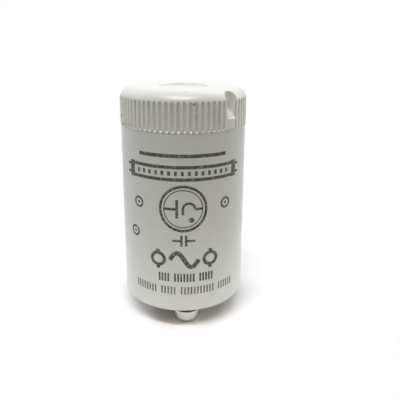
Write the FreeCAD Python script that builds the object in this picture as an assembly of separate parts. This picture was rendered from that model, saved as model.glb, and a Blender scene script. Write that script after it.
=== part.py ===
import FreeCAD, Part
import math
import os

# Fluorescent starter: a ribbed plastic can that holds a glow switch and a capacitor, closed by a disc with
# two headed contact pins. Lengths are millimetres and angles are degrees. +Z runs up the can's axis, Z = 0 is
# the flat end of the pins, and the pins lie on the Y axis with the front one on the -Y side.

# Contact pins, whose round-ended heads are turned as a bevel
PIN_SPACING = 12.7
PIN_HEAD_DIAMETER = 5.0
PIN_HEAD_HEIGHT = 2.35
PIN_END_DIAMETER = 3.5
PIN_BEVEL_HEIGHT = 0.75
PIN_NECK_DIAMETER = 3.0
PIN_NECK_LENGTH = 1.65
PIN_SHANK_DIAMETER = 2.3
PIN_COLLAR_DIAMETER = 3.6
PIN_COLLAR_HEIGHT = 0.4
PIN_HOLE_CLEARANCE = 0.03

# Can, with heights from its rim
CAN_HEIGHT = 35.7
CAN_RIM_DIAMETER = 21.5
CAN_DRAFT = 0.98
CAN_SHOULDER_RADIUS = 2.0
CAN_WALL = 1.25
CAN_TOP_WALL = 1.6

# Round recess in the middle of the can's top
RECESS_DIAMETER = 7.9
RECESS_DEPTH = 0.45

# Grip band, whose ribs stand a little proud of the side, with grooves that run out in the shoulder
BAND_LEDGE_HEIGHT = 29.9
BAND_PROUD = 0.08
GROOVE_COUNT = 72
GROOVE_PHASE = 1.65
GROOVE_WIDTH = 0.42
GROOVE_DEPTH = 0.25
GROOVE_FREE_ANGLE = 5.5
CROWN_MARGIN = 0.005

# Two opposite notches in the edge of the top: tapered half-round gouges that end in a sloping floor
NOTCH_ANGLES = (40.4, 220.4)
NOTCH_DEPTH = 1.1
NOTCH_FOOT_RADIUS = 0.95
NOTCH_TAPER = 7.5
NOTCH_FOOT_HEIGHT = 31.5
NOTCH_FLOOR_RISE = 1.6
NOTCH_BACK_WALL = 1.0
NOTCH_INNER_LEAD = 2.0

# Mouth of the can: a step for the disc, and nibs that hold it
MOUTH_WALL = 0.9
NIB_ANGLES = (45, 135, 225, 315)
NIB_SWEEP = 24
NIB_HEIGHT = 0.4
NIB_BITE = 0.3

# Base disc
DISC_THICKNESS = 1.9
DISC_EDGE_STEP = 0.5
DISC_EDGE_WIDTH = 0.6
DISC_CLEARANCE = 0.08

# Glow bulb
BULB_DIAMETER = 8.4
BULB_LENGTH = 16.0
BULB_GLASS = 0.6
BULB_DOME_BEVEL = 2.0
BULB_TIP_HEIGHT = 1.5
BULB_TIP_DIAMETER = 1.4
BULB_LIFT = 5.0
PINCH_HEIGHT = 4.0
PINCH_WIDTH = 5.4
PINCH_THICKNESS = 2.0

# Glow switch inside the bulb
BULB_LEAD_DIAMETER = 0.5
BULB_LEAD_GAP = 3.2
BULB_LEAD_REACH = 2.5
ELECTRODE_DIAMETER = 0.7
ELECTRODE_LENGTH = 6.5
STRIP_WIDTH = 1.6
STRIP_THICKNESS = 0.2
STRIP_WELD_LENGTH = 1.6
STRIP_HEIGHT = 6.5
STRIP_FREE_LEG = 4.2
STRIP_WELD_FLAT = 0.12
CONTACT_GAP = 0.5

# Capacitor
CAPACITOR_THICKNESS = 3.6
CAPACITOR_WIDTH = 8.0
CAPACITOR_HEIGHT = 11.0
CAPACITOR_ROUNDING = 1.2
CAPACITOR_LIFT = 5.0
CAPACITOR_LEAD_DIAMETER = 0.45
CAPACITOR_LEAD_GAP = 5.0
CAPACITOR_BULB_GAP = 1.0

# Wires, each welded upright on the staked end of its pin
WIRE_STRAIGHT = 1.3
WIRE_PITCH = 0.7

# Levels and radii that follow from the sizes above
RIM_Z = PIN_HEAD_HEIGHT + PIN_NECK_LENGTH
TOP_Z = RIM_Z + CAN_HEIGHT
LEDGE_Z = RIM_Z + BAND_LEDGE_HEIGHT
NOTCH_FOOT_Z = RIM_Z + NOTCH_FOOT_HEIGHT
DISC_TOP_Z = RIM_Z + DISC_THICKNESS
COLLAR_TOP_Z = DISC_TOP_Z + PIN_COLLAR_HEIGHT
NIB_TOP_Z = RIM_Z + DISC_EDGE_STEP
PINCH_Z = DISC_TOP_Z + BULB_LIFT
BULB_Z = PINCH_Z + PINCH_HEIGHT
BULB_TOP_Z = BULB_Z + BULB_LENGTH
LEAD_TOP_Z = BULB_Z + BULB_GLASS + BULB_LEAD_REACH
CAPACITOR_Z = DISC_TOP_Z + CAPACITOR_LIFT
RIM_RADIUS = CAN_RIM_DIAMETER / 2
MOUTH_RADIUS = RIM_RADIUS - MOUTH_WALL
DISC_RADIUS = MOUTH_RADIUS - DISC_CLEARANCE
SHOULDER_Z = TOP_Z - CAN_SHOULDER_RADIUS
DRAFT_SLOPE = math.tan(math.radians(CAN_DRAFT))
LEDGE_RADIUS = RIM_RADIUS - BAND_LEDGE_HEIGHT * DRAFT_SLOPE
BAND_RADIUS = LEDGE_RADIUS + BAND_PROUD
CREST_RADIUS = BAND_RADIUS - (SHOULDER_Z - LEDGE_Z) * DRAFT_SLOPE
TOP_EDGE_RADIUS = BAND_RADIUS - (TOP_Z - LEDGE_Z) * DRAFT_SLOPE
GROOVE_FLOOR_RADIUS = CREST_RADIUS - GROOVE_DEPTH
NOTCH_BACK_RADIUS = CREST_RADIUS - NOTCH_DEPTH
CAVITY_RADIUS = LEDGE_RADIUS - CAN_WALL
SHOULDER_CENTRE_RADIUS = CREST_RADIUS - CAN_SHOULDER_RADIUS
PIN_Y = PIN_SPACING / 2
PAIR_DEPTH = BULB_DIAMETER + CAPACITOR_BULB_GAP + CAPACITOR_THICKNESS
BULB_X = (PAIR_DEPTH - BULB_DIAMETER) / 2
CAPACITOR_X = -(PAIR_DEPTH - CAPACITOR_THICKNESS) / 2
FRONT = -1
REAR = 1

UP = FreeCAD.Vector(0, 0, 1)
AXIS_FOOT = FreeCAD.Vector(0, 0, 0)


def rounded_corner(before, corner, after, radius):
    """Return the start, middle and end of the arc that rounds a corner."""
    back = (before - corner).normalize()
    ahead = (after - corner).normalize()
    half_angle = back.getAngle(ahead) / 2
    setback = radius / math.tan(half_angle)
    middle = (back + ahead).normalize() * (radius / math.sin(half_angle) - radius)
    return corner + back * setback, corner + middle, corner + ahead * setback


def straight_spline(start, end):
    """Straight edge as a spline of one span."""
    spline = Part.BSplineCurve()
    spline.buildFromPoles([start, end], False, 1)
    return spline.toShape()


def spline_arcs(start, middle, end):
    """Arc as two splines that meet at two thirds of its length."""
    arc = Part.Arc(start, middle, end)
    split = arc.FirstParameter + (arc.LastParameter - arc.FirstParameter) * 2 / 3
    halves = []
    for first, last in ((arc.FirstParameter, split), (split, arc.LastParameter)):
        half = Part.Arc(arc.value(first), arc.value((first + last) / 2), arc.value(last))
        halves.append(half.toBSpline().toShape())
    return halves


def rounded_outline(corners, drafted=None):
    """Join (point, radius) corners into a closed wire, with a tangent arc at each corner that has a radius.

    Where an index is given as drafted, the edge that leaves that corner and the arcs are splines.
    """
    points = [point for point, radius in corners]
    stops = []
    for index, (point, radius) in enumerate(corners):
        if radius == 0:
            stops.append((point, None, point))
        else:
            following = points[(index + 1) % len(points)]
            stops.append(rounded_corner(points[index - 1], point, following, radius))
    edges = []
    for index, (start, middle, end) in enumerate(stops):
        if middle is not None and drafted is not None:
            edges += spline_arcs(start, middle, end)
        elif middle is not None:
            edges.append(Part.Arc(start, middle, end).toShape())
        straight_edge = straight_spline if index == drafted else Part.makeLine
        edges.append(straight_edge(end, stops[(index + 1) % len(stops)][0]))
    return Part.Wire(edges)


def turned(outline, drafted=None):
    """Revolve an outline of (radius, height, corner radius) round the Z axis."""
    corners = [(FreeCAD.Vector(radius, 0, height), rounding) for radius, height, rounding in outline]
    return Part.Face(rounded_outline(corners, drafted)).revolve(AXIS_FOOT, UP, 360)


def can_body():
    """Turned form of the can: drafted side, grip band, round shoulder, recess, cavity and mouth."""
    ceiling_z = TOP_Z - CAN_TOP_WALL
    step_z = NOTCH_FOOT_Z - NOTCH_INNER_LEAD
    crown_radius = NOTCH_BACK_RADIUS - NOTCH_BACK_WALL
    recess_radius = RECESS_DIAMETER / 2
    return turned([
        (RIM_RADIUS, RIM_Z, 0),
        (LEDGE_RADIUS, LEDGE_Z, 0),
        (BAND_RADIUS, LEDGE_Z, 0),
        (TOP_EDGE_RADIUS, TOP_Z, CAN_SHOULDER_RADIUS),
        (recess_radius, TOP_Z, 0),
        (recess_radius, TOP_Z - RECESS_DEPTH, 0),
        (0, TOP_Z - RECESS_DEPTH, 0),
        (0, ceiling_z, 0),
        (crown_radius, ceiling_z, 0),
        (crown_radius, step_z, 0),
        (CAVITY_RADIUS, step_z, 0),
        (CAVITY_RADIUS, DISC_TOP_Z, 0),
        (MOUTH_RADIUS, DISC_TOP_Z, 0),
        (MOUTH_RADIUS, RIM_Z, 0),
    ], drafted=0)


def grip_groove():
    """Cutter for the groove that faces the front: a square section that runs straight up."""
    mouth_radius = BAND_RADIUS + GROOVE_DEPTH
    foot = FreeCAD.Vector(-GROOVE_WIDTH / 2, -mouth_radius, LEDGE_Z)
    return Part.makeBox(GROOVE_WIDTH, mouth_radius - GROOVE_FLOOR_RADIUS, TOP_Z - LEDGE_Z, foot)


def clear_of_notches(angle):
    """Whether a groove at this angle lies outside the plain band at every notch."""
    offsets = [(angle - notch_angle + 180) % 360 - 180 for notch_angle in NOTCH_ANGLES]
    return all(abs(offset) > GROOVE_FREE_ANGLE for offset in offsets)


def grip_grooves():
    """Cutters for the grip band: a groove at each step round the can, apart from the notches."""
    groove = grip_groove()
    cutters = []
    for index in range(GROOVE_COUNT):
        angle = GROOVE_PHASE + index * 360 / GROOVE_COUNT
        if clear_of_notches(angle):
            cutter = groove.copy()
            cutter.rotate(AXIS_FOOT, UP, angle)
            cutters.append(cutter)
    return cutters


def notch(angle):
    """Cutter for a notch: a cone that leans so that its back stays upright, over a sloping floor."""
    widening = math.tan(math.radians(NOTCH_TAPER))
    reach = TOP_Z - NOTCH_FOOT_Z + CAN_SHOULDER_RADIUS
    head_radius = NOTCH_FOOT_RADIUS + widening * reach
    foot = FreeCAD.Vector(0, -(NOTCH_BACK_RADIUS + NOTCH_FOOT_RADIUS), NOTCH_FOOT_Z)
    lean = FreeCAD.Vector(0, -widening, 1)
    gouge = Part.makeCone(NOTCH_FOOT_RADIUS, head_radius, reach, foot, lean)
    outside = NOTCH_BACK_RADIUS + NOTCH_DEPTH * 3
    drop = NOTCH_FLOOR_RISE * (outside - NOTCH_BACK_RADIUS) / NOTCH_DEPTH
    back_z = NOTCH_FOOT_Z + NOTCH_FLOOR_RISE
    slope = Part.makePolygon([
        FreeCAD.Vector(-head_radius, -NOTCH_BACK_RADIUS, back_z),
        FreeCAD.Vector(-head_radius, -outside, back_z - drop),
        FreeCAD.Vector(-head_radius, -NOTCH_BACK_RADIUS, back_z - drop),
        FreeCAD.Vector(-head_radius, -NOTCH_BACK_RADIUS, back_z),
    ])
    floor = Part.Face(slope).extrude(FreeCAD.Vector(2 * head_radius, 0, 0))
    cutter = gouge.cut(floor)
    cutter.rotate(AXIS_FOOT, UP, angle)
    return cutter


def mouth_nib(angle):
    """Short bevelled nib inside the mouth that holds the edge of the disc."""
    root = MOUTH_RADIUS + MOUTH_WALL / 2
    crest = DISC_RADIUS - NIB_BITE
    corners = [
        FreeCAD.Vector(root, 0, NIB_TOP_Z),
        FreeCAD.Vector(crest, 0, NIB_TOP_Z),
        FreeCAD.Vector(MOUTH_RADIUS, 0, NIB_TOP_Z - NIB_HEIGHT),
        FreeCAD.Vector(root, 0, NIB_TOP_Z - NIB_HEIGHT),
        FreeCAD.Vector(root, 0, NIB_TOP_Z),
    ]
    nib = Part.Face(Part.makePolygon(corners)).revolve(AXIS_FOOT, UP, NIB_SWEEP)
    nib.rotate(AXIS_FOOT, UP, angle - NIB_SWEEP / 2)
    return nib


def can():
    """Moulded housing: a grooved side under a plain crown, with its notches and mouth nibs."""
    run_out = GROOVE_FLOOR_RADIUS - CROWN_MARGIN - SHOULDER_CENTRE_RADIUS
    crown_z = SHOULDER_Z + math.sqrt(CAN_SHOULDER_RADIUS ** 2 - run_out ** 2)
    crown_space = Part.makeCylinder(RIM_RADIUS, TOP_Z, FreeCAD.Vector(0, 0, crown_z))
    body = can_body()
    notches = [notch(angle) for angle in NOTCH_ANGLES]
    crown = body.common(crown_space).cut(notches)
    side = body.cut(crown_space).cut(grip_grooves() + notches).removeSplitter()
    return side.fuse([crown] + [mouth_nib(angle) for angle in NIB_ANGLES])


def base_disc():
    """Insulating disc with a stepped edge for the nibs and a hole for each pin."""
    centre_radius = DISC_RADIUS - DISC_EDGE_WIDTH
    disc = turned([
        (0, RIM_Z, 0),
        (centre_radius, RIM_Z, 0),
        (centre_radius, NIB_TOP_Z, 0),
        (DISC_RADIUS, NIB_TOP_Z, 0),
        (DISC_RADIUS, DISC_TOP_Z, 0),
        (0, DISC_TOP_Z, 0),
    ])
    hole_radius = PIN_SHANK_DIAMETER / 2 + PIN_HOLE_CLEARANCE
    for side in (FRONT, REAR):
        foot = FreeCAD.Vector(0, side * PIN_Y, RIM_Z)
        disc = disc.cut(Part.makeCylinder(hole_radius, DISC_THICKNESS, foot))
    return disc


def contact_pin(side):
    """Headed pin, with its collar staked over on the inner face of the disc."""
    neck_radius = PIN_NECK_DIAMETER / 2
    shank_radius = PIN_SHANK_DIAMETER / 2
    collar_radius = PIN_COLLAR_DIAMETER / 2
    pin = turned([
        (0, 0, 0),
        (PIN_END_DIAMETER / 2, 0, 0),
        (PIN_HEAD_DIAMETER / 2, PIN_BEVEL_HEIGHT, 0),
        (PIN_HEAD_DIAMETER / 2, PIN_HEAD_HEIGHT, 0),
        (neck_radius, PIN_HEAD_HEIGHT, 0),
        (neck_radius, RIM_Z, 0),
        (shank_radius, RIM_Z, 0),
        (shank_radius, DISC_TOP_Z, 0),
        (collar_radius, DISC_TOP_Z, 0),
        (collar_radius, COLLAR_TOP_Z, 0),
        (0, COLLAR_TOP_Z, 0),
    ])
    pin.translate(FreeCAD.Vector(0, side * PIN_Y, 0))
    return pin


def wire_to_pin(side, target_x, target_y, turn_z, top_z, lane, diameter):
    """Bent wire that stands on a pin, crosses over above the disc and rises at its target."""
    lane_x = lane * WIRE_PITCH / 2
    pin_y = side * PIN_Y
    foot = FreeCAD.Vector(lane_x, pin_y, COLLAR_TOP_Z)
    route = Part.makePolygon([
        foot,
        FreeCAD.Vector(lane_x, pin_y, COLLAR_TOP_Z + WIRE_STRAIGHT),
        FreeCAD.Vector(target_x, side * target_y, turn_z),
        FreeCAD.Vector(target_x, side * target_y, top_z),
    ])
    section = Part.Wire(Part.makeCircle(diameter / 2, foot, UP))
    return route.makePipeShell([section], True, True, 1)


def glow_bulb_wire(side):
    """Round wire from a pin through the pinch into the bulb."""
    turn_z = PINCH_Z - WIRE_STRAIGHT
    return wire_to_pin(side, BULB_X, BULB_LEAD_GAP / 2, turn_z, LEAD_TOP_Z, 1, BULB_LEAD_DIAMETER)


def glow_bulb_lead_front():
    """Wire that ends flat under the fixed electrode."""
    return glow_bulb_wire(FRONT)


def glow_bulb_lead_rear():
    """Wire whose end is pressed flat on its inner side, where the strip is welded."""
    flat_y = BULB_LEAD_GAP / 2 - STRIP_WELD_FLAT
    weld_z = LEAD_TOP_Z - STRIP_WELD_LENGTH
    pressed = Part.makeBox(
        BULB_LEAD_DIAMETER,
        BULB_LEAD_DIAMETER,
        STRIP_WELD_LENGTH,
        FreeCAD.Vector(BULB_X - BULB_LEAD_DIAMETER / 2, flat_y - BULB_LEAD_DIAMETER, weld_z),
    )
    return glow_bulb_wire(REAR).cut(pressed)


def capacitor_lead(side):
    """Wire from a pin up to the underside of the capacitor."""
    turn_z = CAPACITOR_Z - WIRE_STRAIGHT
    target_y = CAPACITOR_LEAD_GAP / 2
    return wire_to_pin(side, CAPACITOR_X, target_y, turn_z, CAPACITOR_Z, -1, CAPACITOR_LEAD_DIAMETER)


def glow_bulb_glass():
    """Blown envelope with a flat pinch below, a sealed-off tip above and a bore for each wire."""
    radius = BULB_DIAMETER / 2
    outer = turned([
        (0, BULB_Z, 0),
        (radius, BULB_Z, 0),
        (radius, BULB_TOP_Z - BULB_DOME_BEVEL, 0),
        (BULB_TIP_DIAMETER / 2, BULB_TOP_Z, 0),
        (0, BULB_TOP_Z + BULB_TIP_HEIGHT, 0),
    ])
    pinch = Part.makeBox(
        PINCH_THICKNESS,
        PINCH_WIDTH,
        PINCH_HEIGHT + BULB_GLASS,
        FreeCAD.Vector(-PINCH_THICKNESS / 2, -PINCH_WIDTH / 2, PINCH_Z),
    )
    hollow_foot = FreeCAD.Vector(0, 0, BULB_Z + BULB_GLASS)
    hollow_height = BULB_LENGTH - BULB_DOME_BEVEL - BULB_GLASS
    hollow = Part.makeCylinder(radius - BULB_GLASS, hollow_height, hollow_foot)
    glass = outer.fuse(pinch).cut(hollow)
    glass.translate(FreeCAD.Vector(BULB_X, 0, 0))
    return glass.cut([glow_bulb_wire(FRONT), glow_bulb_wire(REAR)])


def fixed_electrode():
    """Nickel post that stands on the end of the front wire."""
    foot = FreeCAD.Vector(BULB_X, -BULB_LEAD_GAP / 2, LEAD_TOP_Z)
    return Part.makeCylinder(ELECTRODE_DIAMETER / 2, ELECTRODE_LENGTH, foot)


def bimetal_strip():
    """Hairpin strip, welded to the rear wire, whose free leg hangs a small gap from the electrode."""
    weld_face = BULB_LEAD_GAP / 2 - STRIP_WELD_FLAT
    free_face = -BULB_LEAD_GAP / 2 + ELECTRODE_DIAMETER / 2 + CONTACT_GAP
    foot_z = LEAD_TOP_Z - STRIP_WELD_LENGTH
    top_z = foot_z + STRIP_HEIGHT
    free_z = top_z - STRIP_FREE_LEG
    outer_bend = (weld_face - free_face) / 2 - STRIP_THICKNESS / 4
    inner_bend = outer_bend - STRIP_THICKNESS
    side_x = BULB_X - STRIP_WIDTH / 2
    outline = [
        (weld_face, foot_z, 0),
        (weld_face, top_z, outer_bend),
        (free_face, top_z, outer_bend),
        (free_face, free_z, 0),
        (free_face + STRIP_THICKNESS, free_z, 0),
        (free_face + STRIP_THICKNESS, top_z - STRIP_THICKNESS, inner_bend),
        (weld_face - STRIP_THICKNESS, top_z - STRIP_THICKNESS, inner_bend),
        (weld_face - STRIP_THICKNESS, foot_z, 0),
    ]
    corners = [(FreeCAD.Vector(side_x, y, z), rounding) for y, z, rounding in outline]
    return Part.Face(rounded_outline(corners)).extrude(FreeCAD.Vector(STRIP_WIDTH, 0, 0))


def capacitor_body():
    """Dipped capacitor: a block with round upright edges."""
    block = Part.makeBox(
        CAPACITOR_THICKNESS,
        CAPACITOR_WIDTH,
        CAPACITOR_HEIGHT,
        FreeCAD.Vector(CAPACITOR_X - CAPACITOR_THICKNESS / 2, -CAPACITOR_WIDTH / 2, CAPACITOR_Z),
    )
    upright_edges = [edge for edge in block.Edges if abs(edge.tangentAt(edge.FirstParameter).z) > 0.5]
    return block.makeFillet(CAPACITOR_ROUNDING, upright_edges)


def all_pieces():
    """Return every piece of the starter by its name."""
    return {
        "can": can(),
        "base_disc": base_disc(),
        "contact_pin_front": contact_pin(FRONT),
        "contact_pin_rear": contact_pin(REAR),
        "glow_bulb_glass": glow_bulb_glass(),
        "glow_bulb_lead_front": glow_bulb_lead_front(),
        "glow_bulb_lead_rear": glow_bulb_lead_rear(),
        "fixed_electrode": fixed_electrode(),
        "bimetal_strip": bimetal_strip(),
        "capacitor_body": capacitor_body(),
        "capacitor_lead_front": capacitor_lead(FRONT),
        "capacitor_lead_rear": capacitor_lead(REAR),
    }


os.makedirs("parts", exist_ok=True)
for name, shape in all_pieces().items():
    shape.exportStep("parts/" + name + ".step")
    print(name, round(shape.Volume, 2), "mm3", "valid" if shape.isValid() else "not valid")
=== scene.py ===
import logging
import math
from dataclasses import dataclass
from enum import Enum

import bmesh
import bpy
import numpy as np
from mathutils import Matrix, Vector


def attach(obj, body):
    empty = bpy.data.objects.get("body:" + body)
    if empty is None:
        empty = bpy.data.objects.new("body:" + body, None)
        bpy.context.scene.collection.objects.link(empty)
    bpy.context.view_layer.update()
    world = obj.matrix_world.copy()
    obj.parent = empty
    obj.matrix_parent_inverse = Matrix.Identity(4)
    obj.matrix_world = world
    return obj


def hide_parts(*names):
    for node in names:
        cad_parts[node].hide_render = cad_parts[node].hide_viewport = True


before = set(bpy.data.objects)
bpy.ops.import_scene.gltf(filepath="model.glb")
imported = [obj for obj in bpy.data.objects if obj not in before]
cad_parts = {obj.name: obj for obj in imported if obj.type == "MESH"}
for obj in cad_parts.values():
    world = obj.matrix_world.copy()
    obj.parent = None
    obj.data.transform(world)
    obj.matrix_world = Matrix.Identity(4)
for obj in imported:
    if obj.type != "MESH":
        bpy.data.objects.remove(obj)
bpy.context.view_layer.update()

MM = 0.001
FLOOR_GAP = 0.00002
LOG = logging.getLogger("starter")

Point2 = tuple[float, float]
Point3 = tuple[float, float, float]
Colour = tuple[float, float, float]
Faces = list[list[int]]
Node = bpy.types.Node
Piece = bpy.types.Object
Owner = bpy.types.Material | bpy.types.World

WHITE: Colour = (1.0, 1.0, 1.0)


def metres(span: Point2, start: float = 0.0) -> Point2:
    """Turns a span of millimetres into metres.

    Args:
        span: both ends of the span.
        start: what they count from.

    Returns:
        Both ends in metres.
    """
    return (start + span[0]) * MM, (start + span[1]) * MM


def turned_point(radius: float, angle: float, height: float) -> Point3:
    """Places a point round an upright axis.

    Args:
        radius: distance from the axis.
        angle: degrees round the axis, 0 at the front and positive to the right.
        height: height above the floor.

    Returns:
        The point (x, y, z), in the unit of the radius and the height.
    """
    turn = math.radians(angle)
    return radius * math.sin(turn), -radius * math.cos(turn), height


def arc(centre: Point2, radius: float, start: float, end: float, steps: int) -> list[Point2]:
    """Samples an arc of a profile or of artwork.

    Args:
        centre: middle of the arc.
        radius: radius of the arc.
        start: first angle in degrees, 0 pointing along the first axis and 90 up.
        end: last angle in degrees.
        steps: number of spans.

    Returns:
        The points, both ends included.
    """
    turns = np.radians(np.linspace(start, end, steps + 1))
    return [(centre[0] + radius * math.cos(t), centre[1] + radius * math.sin(t)) for t in turns]


def mesh_piece(name: str, points: np.ndarray, faces: Faces, sharp: float = 35.0) -> Piece:
    """Makes a smooth mesh object.

    Args:
        name: name of the piece.
        points: its vertices, in metres.
        faces: vertex numbers of each face, anticlockwise from outside.
        sharp: edges that turn by more than this many degrees stay sharp.

    Returns:
        The new object.
    """
    mesh = bpy.data.meshes.new(name)
    mesh.from_pydata([tuple(point) for point in points], [], faces)
    mesh.validate()
    piece = bpy.data.objects.new(name, mesh)
    bpy.context.scene.collection.objects.link(piece)
    smooth(piece, sharp)
    return piece


def smooth(piece: Piece, sharp: float) -> None:
    """Shades a piece smooth, apart from its sharp edges.

    Args:
        piece: the object.
        sharp: edges that turn by more than this many degrees stay sharp.
    """
    piece.data.polygons.foreach_set("use_smooth", [True] * len(piece.data.polygons))
    piece.data.set_sharp_from_angle(angle=math.radians(sharp))


def closed_surface(
    rings: list[list[Point3]], start: Point3, end: Point3, rising: bool = False
) -> tuple[np.ndarray, Faces]:
    """Joins rings of points into a closed surface, with a middle point at each end.

    Args:
        rings: rings of as many points each, anticlockwise from above, in millimetres.
        start: middle point before the first ring.
        end: middle point after the last ring.
        rising: whether the outer side's rings are listed from its foot up.

    Returns:
        The points, in metres, and the faces.
    """
    count = len(rings[0])
    points = [start] + [point for ring in rings for point in ring] + [end]
    spans = [(i, (i + 1) % count) for i in range(count)]
    faces = [[0, 1 + i, 1 + j] for i, j in spans]
    for row in range(len(rings) - 1):
        near, far = 1 + row * count, 1 + (row + 1) * count
        faces += [[near + i, far + i, far + j, near + j] for i, j in spans]
    last = 1 + (len(rings) - 1) * count
    faces += [[last + j, last + i, len(points) - 1] for i, j in spans]
    if rising:
        faces = [face[:1] + face[:0:-1] for face in faces]
    return np.array(points) * MM, faces


def rgba(colour: Colour) -> tuple[float, float, float, float]:
    """Adds an alpha of 1 to a colour.

    Args:
        colour: the linear colour.

    Returns:
        The colour with its alpha.
    """
    return colour[0], colour[1], colour[2], 1.0


class Graph:
    """Node tree of a material or a world, with short ways to add and join nodes."""

    mix_inputs = (0, 6, 7)
    mix_output = 2

    def __init__(self, owner: Owner) -> None:
        """Empties the tree of its owner.

        Args:
            owner: the material or the world.
        """
        self.owner = owner
        owner.use_nodes = True
        self.tree = owner.node_tree
        self.tree.nodes.clear()

    def add(self, kind: str, settings: dict | None = None, inputs: tuple = (), **sockets: object) -> Node:
        """Adds a node.

        Args:
            kind: type of the node.
            settings: properties of the node.
            inputs: value or output for each of its first inputs.
            sockets: value or output for other inputs, by their names with _ for a space.

        Returns:
            The node.
        """
        node = self.tree.nodes.new(kind)
        for key, value in (settings or {}).items():
            setattr(node, key, value)
        for number, value in enumerate(inputs):
            self.feed(node, number, value)
        for key, value in sockets.items():
            self.feed(node, key.replace("_", " "), value)
        return node

    def feed(self, node: Node, socket: str | int, value: object) -> None:
        """Sets an input, or links an output to it.

        Args:
            node: the node that takes the value.
            socket: name or number of its input.
            value: a constant, or the output of another node.
        """
        if isinstance(value, bpy.types.NodeSocket):
            self.tree.links.new(value, node.inputs[socket])
        else:
            node.inputs[socket].default_value = value

    def maths(self, operation: str, first: object, second: object) -> object:
        """Adds a Math node.

        Args:
            operation: its operation.
            first: first value or output.
            second: second value or output.

        Returns:
            The output of the node.
        """
        return self.add("ShaderNodeMath", {"operation": operation}, (first, second)).outputs[0]

    def product(self, *factors: object) -> object:
        """Multiplies values and outputs.

        Args:
            factors: two or more of them.

        Returns:
            The output.
        """
        total = factors[0]
        for factor in factors[1:]:
            total = self.maths("MULTIPLY", total, factor)
        return total

    def vector(self, operation: str, *vectors: object) -> Node:
        """Adds a Vector Math node.

        Args:
            operation: its operation.
            vectors: its vectors or outputs.

        Returns:
            The node.
        """
        return self.add("ShaderNodeVectorMath", {"operation": operation}, vectors)

    def ramp(self, value: object, span: Point2, result: Point2 = (0.0, 1.0)) -> object:
        """Maps one range to another, smoothly and within its ends.

        Args:
            value: the output to map.
            span: start and end of its range.
            result: what they are mapped to.

        Returns:
            The mapped output.
        """
        settings = {"interpolation_type": "SMOOTHSTEP", "clamp": True}
        return self.add("ShaderNodeMapRange", settings, (value,) + span + result).outputs["Result"]

    def place(self) -> object:
        """Gives a point's place in the object's own space, in metres."""
        return self.add("ShaderNodeTexCoord").outputs["Object"]

    def noise(self, scale: float, detail: float = 3.0, stretch: Point3 = (1, 1, 1)) -> object:
        """Adds noise in the object's own space.

        Args:
            scale: features per metre.
            detail: octaves of detail.
            stretch: factor along each axis.

        Returns:
            The noise output, 0 to 1.
        """
        mapping = self.add("ShaderNodeMapping", Scale=stretch, Vector=self.place())
        texture = self.add("ShaderNodeTexNoise", Scale=scale, Detail=detail, Vector=mapping.outputs[0])
        return texture.outputs["Fac"]

    def mix(self, share: object, first: object, second: object) -> object:
        """Mixes two colours.

        Args:
            share: share of the second colour.
            first: first colour or output.
            second: second colour or output.

        Returns:
            The colour output.
        """
        node = self.add("ShaderNodeMix", {"data_type": "RGBA"})
        for number, value in zip(self.mix_inputs, (share, first, second)):
            self.feed(node, number, value)
        return node.outputs[self.mix_output]

    def tint(self, shader: Node, share: object, colour: Colour) -> None:
        """Lays a colour over the base colour of a shader.

        Args:
            shader: the shader, whose base colour is already linked.
            share: share of the new colour.
            colour: the linear colour.
        """
        base = shader.inputs["Base Color"].links[0].from_socket
        self.feed(shader, "Base Color", self.mix(share, base, rgba(colour)))

    def bump(self, height: object, strength: float, distance: float) -> object:
        """Turns a height into a normal.

        Args:
            height: the height output.
            strength: strength of the bump.
            distance: height in metres of a full step.

        Returns:
            The normal output.
        """
        node = self.add("ShaderNodeBump", Strength=strength, Distance=distance, Height=height)
        return node.outputs["Normal"]

    def shown_apart(self, lighting: Node, shown: Node) -> Node:
        """Keeps what a surface looks like apart from the light that it gives to other things.

        Args:
            lighting: shader for the rays that only carry light.
            shown: shader for the rays that show the surface, straight, in a gloss or through glass.

        Returns:
            The shader that holds both.
        """
        path = self.add("ShaderNodeLightPath").outputs
        showing = self.maths("MAXIMUM", path["Is Camera Ray"], path["Is Glossy Ray"])
        showing = self.maths("MAXIMUM", showing, path["Is Transmission Ray"])
        return self.add("ShaderNodeMixShader", None, (showing, lighting.outputs[0], shown.outputs[0]))

    def finish(self, shader: Node, kind: str = "ShaderNodeOutputMaterial") -> Owner:
        """Ends the tree with a shader.

        Args:
            shader: the shader.
            kind: type of the output node.

        Returns:
            The material or the world.
        """
        self.add(kind, Surface=shader.outputs[0])
        return self.owner


@dataclass(frozen=True)
class Stain:
    """Round mark on the can's surface. Lengths are millimetres, and core and edge are shares of the size."""

    angle: float
    radius: float
    height: float
    size: float
    share: float
    colour: Colour
    aspect: float = 1.0
    core: float = 0.35
    edge: float = 0.75
    grain: float = 2600.0
    grain_span: Point2 = (0.3, 0.7)

    def mask(self, graph: Graph) -> object:
        """Builds the mark's mask, with an uneven edge.

        Args:
            graph: the material's graph.

        Returns:
            Output from 0 outside to the mark's share inside.
        """
        centre = [MM * value for value in turned_point(self.radius, self.angle, self.height)]
        offset = graph.vector("SUBTRACT", graph.place(), centre).outputs[0]
        scaled = graph.vector("MULTIPLY", offset, (1, 1, self.aspect)).outputs[0]
        length = graph.vector("LENGTH", scaled).outputs["Value"]
        core, edge = self.core * self.size * MM, self.edge * self.size * MM
        wobble = graph.ramp(graph.noise(self.grain), self.grain_span, (-core, core))
        return graph.ramp(graph.maths("ADD", length, wobble), (core, edge), (self.share, 0.0))


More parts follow.
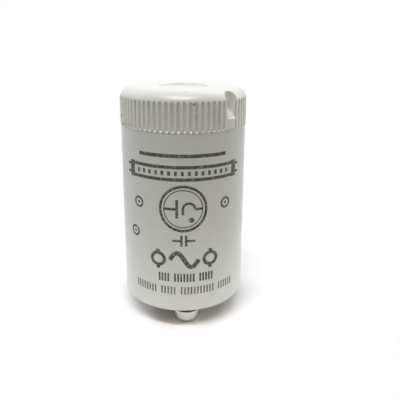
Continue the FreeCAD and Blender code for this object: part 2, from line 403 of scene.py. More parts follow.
@dataclass(frozen=True)
class Finish:
    """Plain finish of a solid: a colour and a roughness that vary a little, and a fine bump in metres."""

    name: str
    colour: Colour
    roughness: float = 0.5
    roughness_span: float = 0.2
    metallic: float = 0.0
    variation: float = 0.03
    grain: float = 900.0
    bump_height: float = 0.000004
    bump_strength: float = 0.4
    transmission: float = 0.0
    ior: float = 1.46
    specular: float = 0.5

    @property
    def label(self) -> str:
        """Name of the material, apart from that of the solids' own."""
        return self.name + "_finish"

    def shader(self, graph: Graph) -> Node:
        """Builds the shader.

        Args:
            graph: the material's graph.

        Returns:
            The shader, whose inputs may still be changed.
        """
        noise = graph.noise(self.grain)
        darker = tuple(value * (1 - self.variation * 2) for value in self.colour)
        lighter = tuple(min(1.0, value * (1 + self.variation)) for value in self.colour)
        unevenness = graph.maths("ADD", noise, 1 / self.roughness_span - 0.5)
        return graph.add(
            "ShaderNodeBsdfPrincipled",
            Base_Color=graph.mix(noise, rgba(darker), rgba(lighter)),
            Metallic=self.metallic,
            Roughness=graph.product(unevenness, self.roughness * self.roughness_span),
            IOR=self.ior,
            Transmission_Weight=self.transmission,
            Specular_IOR_Level=self.specular,
            Normal=graph.bump(noise, self.bump_strength, self.bump_height),
        )

    def material(self) -> bpy.types.Material:
        """Builds the material."""
        graph = Graph(bpy.data.materials.new(self.label))
        return graph.finish(self.shader(graph))

    def dress(self, piece: Piece) -> Piece:
        """Gives a piece this finish in place of what it has.

        Args:
            piece: the object.

        Returns:
            The same object.
        """
        piece.data.materials.clear()
        piece.data.materials.append(bpy.data.materials.get(self.label) or self.material())
        return piece


@dataclass(frozen=True)
class CanFinish(Finish):
    """Satin moulded plastic: grime and painted shade in the grooves, painted highlight on the ribs, a few
    dark marks.

    Lengths are millimetres. Each span holds the two places between which a mask fades: groove_span counts
    from the ribs' radius, foot_span from the ledge, top_span from the floor and wall_span from the axis.
    """

    # Darkening of the grooves: partly real grime, partly painted shade.
    grime_and_shade_colour: Colour = (0.34, 0.31, 0.20)
    grime_and_shade_share: float = 0.2
    # Painted highlight on the ribs' crests.
    rib_highlight_colour: Colour = (0.93, 0.925, 0.87)
    rib_highlight_share: float = 0.8
    crest_radius: float = 10.25
    crest_height: float = 37.7
    draft: float = 0.98
    ledge_height: float = 33.9
    groove_span: Point2 = (-0.24, -0.05)
    foot_span: Point2 = (0.1, 0.4)
    top_span: Point2 = (37.4, 38.1)
    wall_span: Point2 = (9.7, 9.8)
    patch_grain: float = 260.0
    patch_detail: float = 4.0
    patch_stretch: Point3 = (1, 1, 0.6)
    patch_span: Point2 = (0.35, 0.65)
    patch_least: float = 0.6
    stains: tuple[Stain, ...] = ()

    def shader(self, graph: Graph) -> Node:
        """Builds the shader.

        Args:
            graph: the material's graph.

        Returns:
            The shader.
        """
        shader = super().shader(graph)
        parts = graph.add("ShaderNodeSeparateXYZ", Vector=graph.place()).outputs
        flat = graph.add("ShaderNodeCombineXYZ", X=parts["X"], Y=parts["Y"])
        radius = graph.vector("LENGTH", flat.outputs[0]).outputs["Value"]
        height = parts["Z"]
        slope = math.tan(math.radians(self.draft))
        ribs = self.crest_radius + self.crest_height * slope
        reach = graph.maths("ADD", radius, graph.product(height, slope))
        deep = graph.ramp(reach, metres(self.groove_span, ribs), (1.0, 0.0))
        above_ledge = graph.ramp(height, metres(self.foot_span, self.ledge_height))
        below_top = graph.ramp(height, metres(self.top_span), (1.0, 0.0))
        outside = graph.ramp(radius, metres(self.wall_span))
        patches = graph.noise(self.patch_grain, self.patch_detail, self.patch_stretch)
        patchy = graph.ramp(patches, self.patch_span, (self.patch_least, 1.0))
        # Darkens the groove floors: partly real grime, partly painted shade in the grooves.
        grime_and_shade = graph.product(deep, above_ledge, below_top, outside, patchy, self.grime_and_shade_share)
        # Painted highlight: lightens the ribs where their rounding catches the light.
        raised = graph.maths("SUBTRACT", 1.0, deep)
        rib_highlight = graph.product(raised, self.rib_highlight_share, above_ledge, below_top)
        graph.tint(shader, rib_highlight, self.rib_highlight_colour)
        graph.tint(shader, grime_and_shade, self.grime_and_shade_colour)
        for stain in self.stains:
            graph.tint(shader, stain.mask(graph), stain.colour)
        return shader


@dataclass(frozen=True)
class InkFinish(Finish):
    """Thin printed ink that has worn a little, so that the plastic shows through in places."""

    under: Colour = (0.7, 0.7, 0.68)
    wear: float = 0.35
    wear_grain: float = 2300.0
    wear_detail: float = 5.0
    wear_span: Point2 = (0.45, 0.75)

    def shader(self, graph: Graph) -> Node:
        """Builds the shader.

        Args:
            graph: the material's graph.

        Returns:
            The shader.
        """
        shader = super().shader(graph)
        patches = graph.noise(self.wear_grain, self.wear_detail)
        graph.tint(shader, graph.ramp(patches, self.wear_span, (0.0, self.wear)), self.under)
        return shader


@dataclass(frozen=True)
class TurnedMetalFinish(Finish):
    """Bright metal with fine rings round the axis of its piece."""

    ring_grain: float = 5200.0
    ring_detail: float = 2.0
    ring_stretch: Point3 = (0.05, 0.05, 1.0)
    ring_strength: float = 0.25
    ring_height: float = 0.000006
    anisotropy: float = 0.3

    def shader(self, graph: Graph) -> Node:
        """Builds the shader.

        Args:
            graph: the material's graph.

        Returns:
            The shader.
        """
        shader = super().shader(graph)
        rings = graph.noise(self.ring_grain, self.ring_detail, self.ring_stretch)
        graph.feed(shader, "Normal", graph.bump(rings, self.ring_strength, self.ring_height))
        graph.feed(shader, "Anisotropic", self.anisotropy)
        return shader


@dataclass(frozen=True)
class FloorFinish(Finish):
    """Matt floor that lights the starter with its own colour and looks white to the camera."""

    seen: float = 1.0

    def shader(self, graph: Graph) -> Node:
        """Builds the shader.

        Args:
            graph: the material's graph.

        Returns:
            The shader.
        """
        lit = graph.add("ShaderNodeBsdfDiffuse", Color=rgba(self.colour))
        white = graph.add("ShaderNodeBsdfDiffuse", Color=rgba((self.seen, self.seen, self.seen)))
        return graph.shown_apart(lit, white)


class Finishes(Enum):
    """Finishes of the starter's pieces."""

    CAN = CanFinish(
        "can_plastic",
        (0.81, 0.807, 0.76),
        roughness=0.3,
        variation=0.015,
        grain=420.0,
        bump_height=0.000003,
        stains=(
            Stain(4.4, 10.24, 37.95, 0.36, 0.85, (0.03, 0.027, 0.02)),
            Stain(6.2, 10.06, 36.1, 0.5, 0.28, (0.16, 0.13, 0.09), 0.6),
            Stain(-74.9, 10.26, 35.3, 0.5, 0.7, (0.05, 0.04, 0.03)),
            # A dark line along the foot of the grip band on the left.
            Stain(-70.0, 10.32, 34.05, 1.3, 0.5, (0.10, 0.085, 0.06), 4.0),
            Stain(-2.6, 8.9, 39.5, 0.35, 0.4, (0.2, 0.18, 0.14)),
            Stain(24.0, 10.06, 36.0, 1.2, 0.14, (0.42, 0.33, 0.18), 0.5),
        ),
    )
    INK = InkFinish("print_ink", (0.068, 0.065, 0.044), roughness=0.55, variation=0.12, grain=1400.0)
    PALE_INK = InkFinish(
        "print_ink_pale",
        (0.16, 0.15, 0.115),
        roughness=0.55,
        variation=0.12,
        grain=1400.0,
        wear=0.5,
    )
    DISC = Finish("disc_plastic", (0.15, 0.09, 0.04), roughness=0.5, variation=0.12, grain=700.0)
    PIN = TurnedMetalFinish("pin_metal", (0.55, 0.54, 0.505), roughness=0.24, metallic=1.0, variation=0.02)
    GLASS = Finish(
        "bulb_glass",
        (0.95, 0.98, 0.97),
        roughness=0.03,
        transmission=1.0,
        variation=0.0,
        bump_height=0.000001,
    )
    WIRE = Finish("wire_metal", (0.66, 0.62, 0.56), roughness=0.28, metallic=1.0)
    ELECTRODE = Finish("electrode_metal", (0.58, 0.57, 0.54), roughness=0.35, metallic=1.0)
    STRIP = Finish("strip_metal", (0.60, 0.47, 0.27), roughness=0.32, metallic=1.0)
    CAPACITOR = Finish("capacitor_coat", (0.36, 0.10, 0.03), roughness=0.22, variation=0.06)


class Zone(Enum):
    """What a ring of the can's mesh follows besides its own radius."""

    PLAIN = "plain"
    GROOVED = "grooved"
    NIB = "nib"


@dataclass(frozen=True)
class Ring:
    """One ring of the can's mesh, in millimetres."""

    radius: float
    height: float
    zone: Zone = Zone.PLAIN


@dataclass(frozen=True)
class Column:
    """One upright line of the can's mesh: its angle, its groove depth and whether a nib is there."""

    angle: float
    depth: float
    nib: bool


@dataclass
class Can:
    """Moulded can with its grip band, round shoulder, notches, recess, cavity and mouth."""

    rim_height: float = 4.0
    top_height: float = 39.7
    rim_radius: float = 10.75
    draft: float = 0.98
    ledge_height: float = 33.9
    band_proud: float = 0.08
    shoulder: float = 2.0
    recess_radius: float = 3.95
    recess_depth: float = 0.45
    groove_count: int = 72
    groove_phase: float = 1.65
    groove_free: float = 5.5
    run_out: float = 0.9
    scoop: float = 0.24
    scoop_lip: float = 0.01
    notch_angles: tuple[float, float] = (40.4, 220.4)
    notch_depth: float = 1.1
    notch_foot_radius: float = 0.95
    notch_taper: float = 7.5
    notch_foot: float = 35.5
    notch_rise: float = 1.6
    mouth_radius: float = 9.85
    nib_radius: float = 9.47
    nib_sweep: float = 24.0
    nib_height: float = 0.5
    step_height: float = 5.9
    cavity_radius: float = 8.99
    cavity_top: float = 33.5
    crown_radius: float = 8.14
    crown_top: float = 38.1
    recess_foot: float = 0.25
    recess_lip: float = 0.14
    rim_rounding: float = 0.16
    mouth_edge: float = 0.1
    sharp: float = 35.0
    ledge_drop: float = 0.05
    nib_back: float = 0.002
    shoulder_steps: int = 20
    scoop_steps: int = 6
    notch_sides: int = 96
    recess_radii: tuple[float, ...] = (1.2, 2.4, 3.2)
    top_radii: tuple[float, ...] = (5.5, 7.0)
    band_heights: tuple[float, ...] = (36.4, 35.1)
    side_heights: tuple[float, ...] = (30.0, 24.0, 18.0, 12.0, 7.0, 4.5)
    cavity_middle: float = 20.0
    groove_section: tuple[Point2, ...] = (
        (0.0, 0.25),
        (0.11, 0.25),
        (0.155, 0.235),
        (0.19, 0.19),
        (0.208, 0.12),
        (0.222, 0.045),
        (0.242, 0.012),
        (0.275, 0.0),
        (0.36, 0.0),
    )

    def side_radius(self, height: float) -> float:
        """Gives the drafted side's radius.

        Args:
            height: height above the floor.

        Returns:
            The radius there.
        """
        return self.rim_radius - (height - self.rim_height) * math.tan(math.radians(self.draft))

    def rib_radius(self, height: float) -> float:
        """Gives the radius of the grip band's ribs, which stand proud of the side.

        Args:
            height: height above the floor.

        Returns:
            The radius there.
        """
        return self.side_radius(height) + self.band_proud

    @property
    def shoulder_height(self) -> float:
        """Height at which the shoulder starts."""
        return self.top_height - self.shoulder

    @property
    def crest_radius(self) -> float:
        """Radius of the ribs where the shoulder starts."""
        return self.rib_radius(self.shoulder_height)

    @property
    def groove_depth(self) -> float:
        """Depth of a groove's floor under the ribs at the shoulder."""
        return self.groove_section[0][1]

    def floor_radius(self, height: float) -> float:
        """Gives the radius of a groove's floor, which curves out to the side at its foot.

        Args:
            height: height above the floor, below the shoulder.

        Returns:
            The radius there.
        """
        floor = self.crest_radius - self.groove_depth
        reach = self.side_radius(self.ledge_height) - self.scoop_lip - floor
        drop = max(0.0, 1 - (height - self.ledge_height) / self.scoop)
        return floor + reach * (1 - math.sqrt(1 - min(1.0, drop) ** 2))

    def grooved(self, angle: float) -> bool:
        """Says whether a groove is at an angle.

        Args:
            angle: degrees round the axis.

        Returns:
            True outside the plain band at each notch.
        """
        offsets = [(angle - notch + 180) % 360 - 180 for notch in self.notch_angles]
        return all(abs(offset) > self.groove_free for offset in offsets)

    def nibbed(self, angle: float) -> bool:
        """Says whether one of the four nibs is at an angle.

        Args:
            angle: degrees round the axis.

        Returns:
            True within a nib's sweep.
        """
        turn = (angle - 45) % 90
        return min(turn, 90 - turn) < self.nib_sweep / 2

    def columns(self) -> list[Column]:
        """Lays out the upright lines of the mesh.

        Returns:
            The columns once round the can.
        """
        pitch = 360 / self.groove_count
        half = math.radians(pitch / 2) * self.crest_radius
        mirrored = [(-offset, depth) for offset, depth in reversed(self.groove_section[1:])]
        columns = []
        for index in range(self.groove_count):
            centre = self.groove_phase + index * pitch
            carved = self.grooved(centre)
            for offset, depth in [(-half, 0.0)] + mirrored + list(self.groove_section):
                angle = centre + math.degrees(offset / self.crest_radius)
                columns.append(Column(angle, depth if carved else 0.0, self.nibbed(angle)))
        return columns

    def top_rings(self) -> list[Ring]:
        """Lays out the rings of the top face, from the middle of its recess outwards.

        Returns:
            The rings.
        """
        top, foot, lip = self.top_height, self.recess_foot, self.recess_lip
        floor = top - self.recess_depth
        points = [(radius, floor) for radius in self.recess_radii]
        points += arc((self.recess_radius - foot, floor + foot), foot, -90, 0, steps=5)
        points += arc((self.recess_radius + lip, top - lip), lip, 180, 90, steps=4)
        points += [(radius, top) for radius in self.top_radii]
        return [Ring(*point) for point in points]

    def band_rings(self) -> list[Ring]:
        """Lays out the rings of the shoulder and of the grip band, down to the scoop at each groove's foot.

        Returns:
            The rings.
        """
        middle = self.crest_radius - self.shoulder
        turns = np.radians(np.linspace(90, 0, self.shoulder_steps + 1))
        heights = {self.shoulder_height + self.shoulder * math.sin(turn) for turn in turns}
        for _, depth in self.groove_section:
            inset = self.crest_radius - depth - middle
            heights.add(self.shoulder_height + math.sqrt(self.shoulder**2 - inset**2))
        rings = []
        for height in sorted(heights, reverse=True):
            across = math.sqrt(max(0.0, self.shoulder**2 - (height - self.shoulder_height) ** 2))
            rings.append(Ring(middle + across, height, Zone.GROOVED))
        turns = np.radians(np.linspace(0, 90, self.scoop_steps + 1))
        low = list(self.band_heights)
        low += [self.ledge_height + self.scoop * (1 - math.sin(turn)) for turn in turns]
        return rings + [Ring(self.rib_radius(height), height, Zone.GROOVED) for height in low]

    def wall_rings(self) -> list[Ring]:
        """Lays out the rings of the plain side, the rim, the mouth and the cavity.

        Returns:
            The rings.
        """
        foot, rounding = self.rim_height, self.rim_rounding
        outer = self.side_radius(self.ledge_height)
        points = [(outer, self.ledge_height), (outer, self.ledge_height - self.ledge_drop)]
        points += [(self.side_radius(height), height) for height in self.side_heights]
        points += arc((self.rim_radius - rounding, foot + rounding), rounding, 0, -90, steps=4)
        points += [(self.mouth_radius + self.mouth_edge, foot), (self.mouth_radius, foot + self.mouth_edge)]
        nib = Ring(self.nib_radius, foot + self.nib_height, Zone.NIB)
        mouth = (foot + self.nib_height + self.nib_back, self.step_height)
        inside = [(self.mouth_radius, height) for height in mouth]
        cavity = (self.step_height, self.cavity_middle, self.cavity_top)
        inside += [(self.cavity_radius, height) for height in cavity]
        inside += [(self.crown_radius, height) for height in (self.cavity_top, self.crown_top)]
        return [Ring(*point) for point in points] + [nib] + [Ring(*point) for point in inside]

    def radius_at(self, ring: Ring, column: Column) -> float:
        """Gives the radius where a ring meets a column.

        Args:
            ring: the ring.
            column: the column.

        Returns:
            The radius, in millimetres.
        """
        if ring.zone is Zone.GROOVED and ring.height > self.shoulder_height:
            fade = max(0.0, 1 - (ring.height - self.shoulder_height) / self.run_out)
            return min(ring.radius, self.crest_radius - column.depth * fade)
        if ring.zone is Zone.GROOVED:
            share = column.depth / self.groove_depth
            return ring.radius - share * (ring.radius - self.floor_radius(ring.height))
        if ring.zone is Zone.NIB and not column.nib:
            return self.mouth_radius
        return ring.radius

    def shell(self) -> Piece:
        """Builds the can before its notches are cut.

        Returns:
            The closed mesh.
        """
        columns = self.columns()
        rings = self.top_rings() + self.band_rings() + self.wall_rings()
        placed = [
            [turned_point(self.radius_at(ring, column), column.angle, ring.height) for column in columns]
            for ring in rings
        ]
        start = turned_point(0, 0, self.top_height - self.recess_depth)
        points, faces = closed_surface(placed, start, turned_point(0, 0, self.crown_top))
        return mesh_piece("can_shell", points, faces)

    def notch_cutter(self, angle: float) -> Piece:
        """Builds the body that cuts one notch: a leaning cone over a sloping floor.

        Args:
            angle: degrees round the axis.

        Returns:
            The cutter.
        """
        back = self.crest_radius - self.notch_depth
        widening = math.tan(math.radians(self.notch_taper))
        reach = self.top_height - self.notch_foot + self.shoulder
        count = self.notch_sides
        points = []
        for level in (0.0, reach):
            radius = self.notch_foot_radius + widening * level
            middle = back + self.notch_foot_radius + widening * level
            for turn in np.linspace(0, 2 * math.pi, count, endpoint=False):
                across, out = radius * math.sin(turn), -middle - radius * math.cos(turn)
                points.append((across, out, self.notch_foot + level))
        faces = [[i, (i + 1) % count, count + (i + 1) % count, count + i] for i in range(count)]
        faces += [list(range(count))[::-1], list(range(count, 2 * count))]
        cutter = mesh_piece("notch_cutter", np.array(points) * MM, faces)
        body = bmesh.new()
        body.from_mesh(cutter.data)
        bmesh.ops.recalc_face_normals(body, faces=body.faces)
        seam = Vector((0, -back, self.notch_foot + self.notch_rise)) * MM
        slope = Vector((0, -self.notch_rise, self.notch_depth)).normalized()
        everything = body.verts[:] + body.edges[:] + body.faces[:]
        cut = bmesh.ops.bisect_plane(body, geom=everything, plane_co=seam, plane_no=slope, clear_inner=True)
        edges = [item for item in cut["geom_cut"] if isinstance(item, bmesh.types.BMEdge)]
        bmesh.ops.edgeloop_fill(body, edges=edges)
        bmesh.ops.recalc_face_normals(body, faces=body.faces)
        body.to_mesh(cutter.data)
        body.free()
        cutter.data.transform(Matrix.Rotation(math.radians(angle), 4, "Z"))
        return cutter

    def build(self) -> Piece:
        """Builds the can and dresses it.

        Returns:
            The finished piece.
        """
        shell = self.shell()
        cutters = [self.notch_cutter(angle) for angle in self.notch_angles]
        for cutter in cutters:
            cut = shell.modifiers.new("notch", "BOOLEAN")
            cut.operation = "DIFFERENCE"
            cut.solver = "EXACT"
            cut.object = cutter
        graph = bpy.context.evaluated_depsgraph_get()
        mesh = bpy.data.meshes.new_from_object(shell.evaluated_get(graph))
        for spare in [shell] + cutters:
            bpy.data.objects.remove(spare)
        piece = bpy.data.objects.new("can_moulding", mesh)
        bpy.context.scene.collection.objects.link(piece)
        smooth(piece, self.sharp)
        Finishes.CAN.value.dress(piece)
        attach(piece, "root")
        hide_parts("can")
        return piece


@dataclass
class ContactPins:
    """Two headed pins, turned round their own axes."""

    spacing: float = 12.7
    head_radius: float = 2.5
    head_height: float = 2.35
    head_rounding: float = 1.1
    edge_rounding: float = 0.16
    neck_radius: float = 1.5
    rim_height: float = 4.0
    shank_radius: float = 1.15
    disc_top: float = 5.9
    collar_radius: float = 1.8
    collar_top: float = 6.3
    segments: int = 96

    def profile(self) -> list[Point2]:
        """Lays out the outline of a pin.

        Returns:
            Points (radius, height) from the flat end up to the collar.
        """
        head, edge = self.head_radius, self.edge_rounding
        points = arc((head - self.head_rounding, self.head_rounding), self.head_rounding, -90, 0, steps=14)
        points += arc((head - edge, self.head_height - edge), edge, 0, 90, steps=5)
        points += [(self.neck_radius, self.head_height), (self.neck_radius, self.rim_height)]
        points += [(self.shank_radius, self.rim_height), (self.shank_radius, self.disc_top)]
        points += [(self.collar_radius, self.disc_top)]
        points += arc((self.collar_radius - edge, self.collar_top - edge), edge, 0, 90, steps=4)
        return points

    def pin(self, name: str, node: str, side: int) -> Piece:
        """Builds one pin and dresses it.

        Args:
            name: name of the piece.
            node: name of the CAD node that it stands for.
            side: -1 for the front and 1 for the rear.

        Returns:
            The finished piece.
        """
        turns = [360 * i / self.segments for i in range(self.segments)]
        rings = [[turned_point(radius, turn, height) for turn in turns] for radius, height in self.profile()]
        points, faces = closed_surface(rings, (0.0, 0.0, 0.0), (0.0, 0.0, self.collar_top), rising=True)
        place = points + np.array([0.0, side * self.spacing / 2 * MM, 0.0])
        piece = Finishes.PIN.value.dress(mesh_piece(name, place, faces))
        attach(piece, "root")
        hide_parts(node)
        return piece

    def build(self) -> list[Piece]:
        """Builds both pins.

        Returns:
            The finished pieces.
        """
        return [
            self.pin("pin_front", "contact_pin_front", -1),
            self.pin("pin_rear", "contact_pin_rear", 1),
        ]


@dataclass
class Sheet:
    """Flat artwork, as points (along, height) and faces, in millimetres."""

    points: list[Point2]
    faces: Faces

    def __add__(self, other: "Sheet") -> "Sheet":
        """Joins two pieces of artwork.

        Args:
            other: the other artwork.

        Returns:
            Both as one.
        """
        moved = [[len(self.points) + i for i in face] for face in other.faces]
        return Sheet(self.points + other.points, self.faces + moved)


class Artist:
    """Draws plain shapes as sheets whose faces are small enough to follow the can."""

    span = 0.3
    rise = 1.0
    ring_sides = 60
    dot_sides = 28

    @classmethod
    def block(cls, left: float, right: float, low: float, high: float) -> Sheet:
        """Draws an upright rectangle.

        Args:
            left: its left edge.
            right: its right edge.
            low: its lower edge.
            high: its upper edge.

        Returns:
            The sheet.
        """
        across = max(1, math.ceil((right - left) / cls.span))
        up = max(1, math.ceil((high - low) / cls.rise))
        points = [
            (left + (right - left) * i / across, low + (high - low) * j / up)
            for j in range(up + 1)
            for i in range(across + 1)
        ]
        row = across + 1
        faces = [
            [j * row + i, j * row + i + 1, (j + 1) * row + i + 1, (j + 1) * row + i]
            for j in range(up)
            for i in range(across)
        ]
        return Sheet(points, faces)

    @classmethod
    def band(cls, path: list[Point2], width: float, closed: bool = False) -> Sheet:
        """Draws a line of even width along a path.

        Args:
            path: its middle line.
            width: its width.
            closed: whether its end joins its start.

        Returns:
            The sheet.
        """
        line = cls.divided(path, closed)
        count = len(line)
        left, right = [], []
        for index, point in enumerate(line):
            before = line[index - 1] if closed or index > 0 else point
            after = line[(index + 1) % count] if closed or index < count - 1 else point
            first = cls.direction(before, point) or cls.direction(point, after)
            second = cls.direction(point, after) or first
            tangent = np.array(first) + np.array(second)
            tangent = tangent / (np.linalg.norm(tangent) or 1.0)
            stretch = 1.0 / max(0.5, float(np.dot(tangent, first)))
            offset = np.array([-tangent[1], tangent[0]]) * width / 2 * stretch
            left.append((point[0] + offset[0], point[1] + offset[1]))
            right.append((point[0] - offset[0], point[1] - offset[1]))
        spans = count if closed else count - 1
        faces = [[i + count, (i + 1) % count + count, (i + 1) % count, i] for i in range(spans)]
        return Sheet(left + right, faces)

    @staticmethod
    def direction(start: Point2, end: Point2) -> Point2 | None:
        """Gives the unit direction between two points.

        Args:
            start: first point.
            end: second point.

        Returns:
            The direction, or None where the points are the same.
        """
        length = math.hypot(end[0] - start[0], end[1] - start[1])
        if length < 1e-9:
            return None
        return (end[0] - start[0]) / length, (end[1] - start[1]) / length

    @classmethod
    def divided(cls, path: list[Point2], closed: bool) -> list[Point2]:
        """Divides a path into short spans.

        Args:
            path: its corners.
            closed: whether its end joins its start.

        Returns:
            The path with points between its corners.
        """
        ends = path[1:] + ([path[0]] if closed else [])
        line = [path[0]]
        for start, end in zip(path, ends):
            steps = max(1, math.ceil(math.hypot(end[0] - start[0], end[1] - start[1]) / cls.span))
            line += [
                (start[0] + (end[0] - start[0]) * i / steps, start[1] + (end[1] - start[1]) * i / steps)
                for i in range(1, steps + 1)
            ]
        return line[:-1] if closed else line

    @classmethod
    def ring(cls, centre: Point2, radius: float, width: float) -> Sheet:
        """Draws a circle's line.

        Args:
            centre: its middle.
            radius: radius of its middle line.
            width: width of the line.

        Returns:
            The sheet.
        """
        return cls.band(arc(centre, radius, 0, 360, cls.ring_sides)[:-1], width, closed=True)

    @classmethod
    def dot(cls, centre: Point2, radius: float) -> Sheet:
        """Draws a filled circle.

        Args:
            centre: its middle.
            radius: its radius.

        Returns:
            The sheet.
        """
        count = cls.dot_sides
        points = [centre] + arc(centre, radius, 0, 360, count)[:-1]
        return Sheet(points, [[0, 1 + i, 1 + (i + 1) % count] for i in range(count)])


@dataclass
class Print:
    """Plain printed marks: a line, a tube symbol, a starter diagram, small signs and rows of strokes."""

    can: Can
    centre_angle: float = -3.9
    wrap_radius: float = 10.4
    proud: float = 0.012
    sunk: float = 0.05
    sharp: float = 60.0
    group_gap: float = 1.2

    def wrapped(self, name: str, sheet: Sheet, finish: Finish) -> Piece:
        """Wraps artwork round the can as a thin closed shell and dresses it.

        Args:
            name: name of the piece.
            sheet: the artwork.
            finish: its ink.

        Returns:
            The finished piece.
        """
        layers = []
        for lift in (self.proud, -self.sunk):
            for along, height in sheet.points:
                angle = self.centre_angle + math.degrees(along / self.wrap_radius)
                layers.append(turned_point(self.can.side_radius(height) + lift, angle, height))
        count = len(sheet.points)
        faces = [list(face) for face in sheet.faces]
        faces += [[count + i for i in reversed(face)] for face in sheet.faces]
        sides = {(a, b) for face in sheet.faces for a, b in zip(face, face[1:] + face[:1])}
        faces += [[b, a, count + a, count + b] for a, b in sides if (b, a) not in sides]
        piece = finish.dress(mesh_piece(name, np.array(layers) * MM, faces, self.sharp))
        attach(piece, "root")
        return piece

    def strokes(self, groups: list[int], rows: Point2, ends: Point2, width: float) -> Sheet:
        """Draws a row of upright strokes in groups.

        Args:
            groups: number of strokes in each group.
            rows: lower and upper edge.
            ends: left and right end of the row.
            width: width of a stroke.

        Returns:
            The sheet.
        """
        slots = sum(groups) + self.group_gap * (len(groups) - 1)
        pitch = (ends[1] - ends[0] - width) / (slots - 1)
        sheets, place = [], ends[0]
        for group in groups:
            for _ in range(group):
                sheets.append(Artist.block(place, place + width, *rows))
                place += pitch
            place += self.group_gap * pitch
        return sum(sheets, Sheet([], []))

    def rule(self) -> Sheet:
        """Draws the plain rule above the tube symbol.

        Returns:
            The sheet.
        """
        return Artist.block(-7.4, 6.9, 30.2, 30.75)

    def tube(self) -> Sheet:
        """Draws a lamp tube: a long bar with a cap and two pins at each end.

        Returns:
            The sheet.
        """
        low, high, left, right = 26.6, 29.0, -8.6, 8.3
        line, cap, pin, pin_half, mark_half, mark_gap = 0.5, 1.0, 1.7, 0.2, 0.22, 0.85
        parts = [Artist.block(left, right, high - line, high), Artist.block(left, right, low, low + line)]
        for end, out in ((left, -1), (right, 1)):
            parts.append(Artist.block(*sorted((end, end + out * cap)), low - 0.1, high + 0.1))
            for height in (27.15, 28.45):
                across = sorted((end + out * cap, end + out * pin))
                parts.append(Artist.block(*across, height - pin_half, height + pin_half))
        for place in np.arange(left + cap, right - line, 1.05):
            parts.append(Artist.block(place - mark_half, place + mark_half, low + mark_gap, high - mark_gap))
        return sum(parts, Sheet([], []))

    def switch(self) -> Sheet:
        """Draws the glow switch: a circle with two electrodes and the dot that stands for gas.

        Returns:
            The sheet.
        """
        level, plate, wire = 22.15, -1.15, 0.4
        middle = (-0.15, level)
        parts = [Artist.ring(middle, 3.62, 0.42), Artist.ring(middle, 3.05, 0.16)]
        parts.append(Artist.band([(-3.2, level), (plate, level)], wire))
        parts.append(Artist.band([(plate, 20.65), (plate, 23.65)], 0.42))
        parts.append(Artist.band([(2.9, level), (1.7, level)], wire))
        parts.append(Artist.band(arc((0.75, level), 0.95, 0, 180, steps=16) + [(-0.2, 21.2)], 0.38))
        parts.append(Artist.dot((1.15, 20.35), 0.42))
        return sum(parts, Sheet([], []))

    def capacitor(self) -> Sheet:
        """Draws the capacitor: two plates with a wire on each side.

        Returns:
            The sheet.
        """
        plate, wire = (15.9, 17.75), (16.65, 17.0)
        parts = [Artist.block(-0.62, -0.26, *plate), Artist.block(0.12, 0.48, *plate)]
        parts += [Artist.block(-1.9, -0.62, *wire), Artist.block(0.48, 1.76, *wire)]
        return sum(parts, Sheet([], []))

    def supply(self) -> Sheet:
        """Draws the supply: a wave between two terminals.

        Returns:
            The sheet.
        """
        level, start, length, swing = 13.45, -2.3, 4.6, 1.25
        turns = np.linspace(0, 1, 33)
        wave = [(start + length * turn, level + swing * math.sin(2 * math.pi * turn)) for turn in turns]
        parts = [Artist.band(wave, 0.72)]
        for place in (-4.25, 4.25):
            parts.append(Artist.ring((place, level), 1.05, 0.55))
            for rows in ((11.75, 12.3), (14.6, 15.15)):
                parts.append(Artist.block(place - 0.3, place + 0.3, *rows))
        return sum(parts, Sheet([], []))

    def terminals(self) -> Sheet:
        """Draws three small terminal marks beside the diagram.

        Returns:
            The sheet.
        """
        parts = []
        for place, height in ((-7.8, 22.5), (7.0, 22.5), (-8.8, 17.3)):
            parts.append(Artist.ring((place, height), 0.78, 0.34))
            parts.append(Artist.dot((place, height), 0.22))
        return sum(parts, Sheet([], []))

    def build(self) -> list[Piece]:
        """Builds all the printed marks.

        Returns:
            The finished pieces.
        """
        artwork = {
            "print_rule": self.rule(),
            "print_tube": self.tube(),
            "print_switch": self.switch(),
            "print_capacitor": self.capacitor(),
            "print_supply": self.supply(),
            "print_terminals": self.terminals(),
            "print_strokes_upper": self.strokes([4, 7, 5], (9.5, 11.0), (-4.2, 4.7), 0.3),
        }
        pieces = [self.wrapped(name, sheet, Finishes.INK.value) for name, sheet in artwork.items()]
        lower = self.strokes([8, 5, 11, 6], (7.15, 8.55), (-8.6, 8.7), 0.26)
        return pieces + [self.wrapped("print_strokes_lower", lower, Finishes.PALE_INK.value)]


@dataclass
class Inside:
    """Pieces that keep their CAD meshes, with their finishes."""

    finishes: tuple[tuple[str, Finishes], ...] = (
        ("base_disc", Finishes.DISC),
        ("glow_bulb_glass", Finishes.GLASS),
        ("glow_bulb_lead_front", Finishes.WIRE),
        ("glow_bulb_lead_rear", Finishes.WIRE),
        ("fixed_electrode", Finishes.ELECTRODE),
        ("bimetal_strip", Finishes.STRIP),
        ("capacitor_body", Finishes.CAPACITOR),
        ("capacitor_lead_front", Finishes.WIRE),
        ("capacitor_lead_rear", Finishes.WIRE),
    )

    sharp: float = 30.0

    def build(self) -> list[Piece]:
        """Dresses the pieces.

        Returns:
            The finished pieces.
        """
        pieces = []
        for node, finish in self.finishes:
            piece = finish.value.dress(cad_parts[node])
            smooth(piece, self.sharp)
            pieces.append(piece)
        return pieces


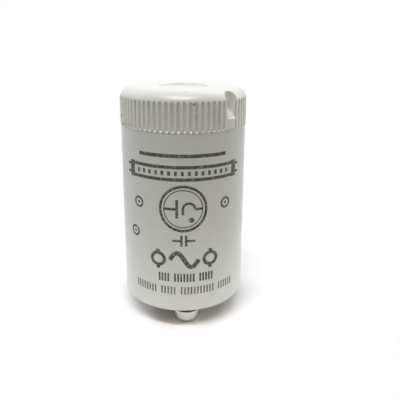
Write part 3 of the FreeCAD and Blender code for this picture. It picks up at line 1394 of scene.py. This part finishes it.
@dataclass(frozen=True)
class Lamp:
    """Soft area light that faces the starter, for its matt light, its gloss or both. Lengths are metres."""

    name: str
    place: Point3
    size: Point2
    power: float
    colour: Colour
    matt: bool = True
    gloss: bool = True
    aim: Point3 = (0.0, 0.0, 0.02)

    def build(self) -> Piece:
        """Makes the light.

        Returns:
            The light object.
        """
        data = bpy.data.lights.new(self.name, "AREA")
        data.shape = "RECTANGLE"
        data.size, data.size_y = self.size
        data.energy = self.power
        data.color = self.colour
        lamp = bpy.data.objects.new(self.name, data)
        lamp.location = self.place
        lamp.rotation_mode = "QUATERNION"
        lamp.rotation_quaternion = (Vector(self.aim) - Vector(self.place)).to_track_quat("-Z", "Y")
        lamp.visible_camera = False
        lamp.visible_diffuse = self.matt
        lamp.visible_glossy = self.gloss
        bpy.context.scene.collection.objects.link(lamp)
        return lamp


@dataclass
class Studio:
    """White floor, soft lights, pale surroundings and the camera of the main view."""

    floor_radius: float = 0.038
    floor_colour: Colour = (0.92, 0.915, 0.90)
    floor_seen: float = 1.07
    fill: float = 0.011
    camera_place: Point3 = (-0.005326, -0.070833, 0.046231)
    camera_turn: float = -4.3
    camera_aside: float = 0.041
    camera_down: float = 0.3557
    camera_roll: float = 0.01155
    lens: float = 38.24
    lamps: tuple[Lamp, ...] = (
        Lamp("lamp_top", (-0.125, -0.45, 1.175), (1, 0.15), 11.0, (0.92, 0.94, 1.0)),
        Lamp("lamp_front", (-0.125, -0.7, 1.075), (1, 0.125), 2.0, (1.0, 0.83, 0.42)),
        Lamp("lamp_left", (-1.05, 0.2, 0.75), (1, 0.6), 3.4, (0.96, 1.0, 1.0), gloss=False),
        Lamp("lamp_right", (1.05, 0.2, 0.5), (1, 1), 6.20, (1.0, 0.99, 0.95)),
        Lamp("lamp_back_left", (-0.8, 0.7, 0.8), (0.625, 0.5), 4.2, (0.84, 0.91, 1.0), gloss=False),
        Lamp("lamp_back_right", (0.65, 0.65, 1.05), (0.625, 0.625), 2.75, (0.80, 0.85, 1.0)),
        Lamp("lamp_glint", (-0.1, -0.72, 1.07), (0.5, 0.09), 4.8, WHITE, matt=False),
    )

    def floor(self) -> Piece:
        """Makes the round floor.

        Returns:
            The floor.
        """
        sides = 128
        points = [turned_point(self.floor_radius, 360 * i / sides, -FLOOR_GAP) for i in range(sides)]
        floor = mesh_piece("floor", np.array(points), [list(range(sides))])
        FloorFinish("floor_white", self.floor_colour, seen=self.floor_seen).dress(floor)
        return floor

    def surroundings(self) -> None:
        """Makes the world: white where the camera sees it, and a weaker fill for the light on the starter."""
        graph = Graph(bpy.data.worlds.new("surroundings"))
        fill = graph.add("ShaderNodeBackground", Color=rgba(WHITE), Strength=self.fill)
        shown = graph.add("ShaderNodeBackground", Color=rgba(WHITE), Strength=1.0)
        bpy.context.scene.world = graph.finish(graph.shown_apart(fill, shown), "ShaderNodeOutputWorld")

    def camera(self) -> Piece:
        """Makes the camera of the main view.

        Returns:
            The camera.
        """
        aside, down = self.camera_aside, self.camera_down
        flat = math.cos(down)
        forward = Vector((math.sin(aside) * flat, math.cos(aside) * flat, -math.sin(down)))
        level = Vector((math.cos(aside), -math.sin(aside), 0.0))
        upright = level.cross(forward)
        right = level * math.cos(self.camera_roll) + upright * math.sin(self.camera_roll)
        up = upright * math.cos(self.camera_roll) - level * math.sin(self.camera_roll)
        turn = Matrix.Rotation(math.radians(self.camera_turn), 3, "Z")
        axes = Matrix((turn @ right, turn @ up, turn @ -forward)).transposed()
        data = bpy.data.cameras.new("main_camera")
        data.sensor_width = 36.0
        data.lens = self.lens
        data.clip_start, data.clip_end = 0.001, 10.0
        camera = bpy.data.objects.new("main_camera", data)
        camera.matrix_world = Matrix.Translation(self.camera_place) @ axes.to_4x4()
        bpy.context.scene.collection.objects.link(camera)
        bpy.context.scene.camera = camera
        return camera

    def build(self) -> None:
        """Builds the studio."""
        self.floor()
        self.surroundings()
        for lamp in self.lamps:
            lamp.build()
        self.camera()
        bpy.context.scene.view_settings.view_transform = "Standard"


def main() -> None:
    """Builds the starter and its studio."""
    logging.basicConfig(level=logging.INFO, format="%(name)s %(message)s")
    can = Can()
    pieces = [can.build()]
    pieces += ContactPins().build()
    pieces += Print(can).build()
    pieces += Inside().build()
    for piece in pieces:
        LOG.info("%s has %d faces", piece.name, len(piece.data.polygons))
    Studio().build()


if __name__ == "__main__":
    main()
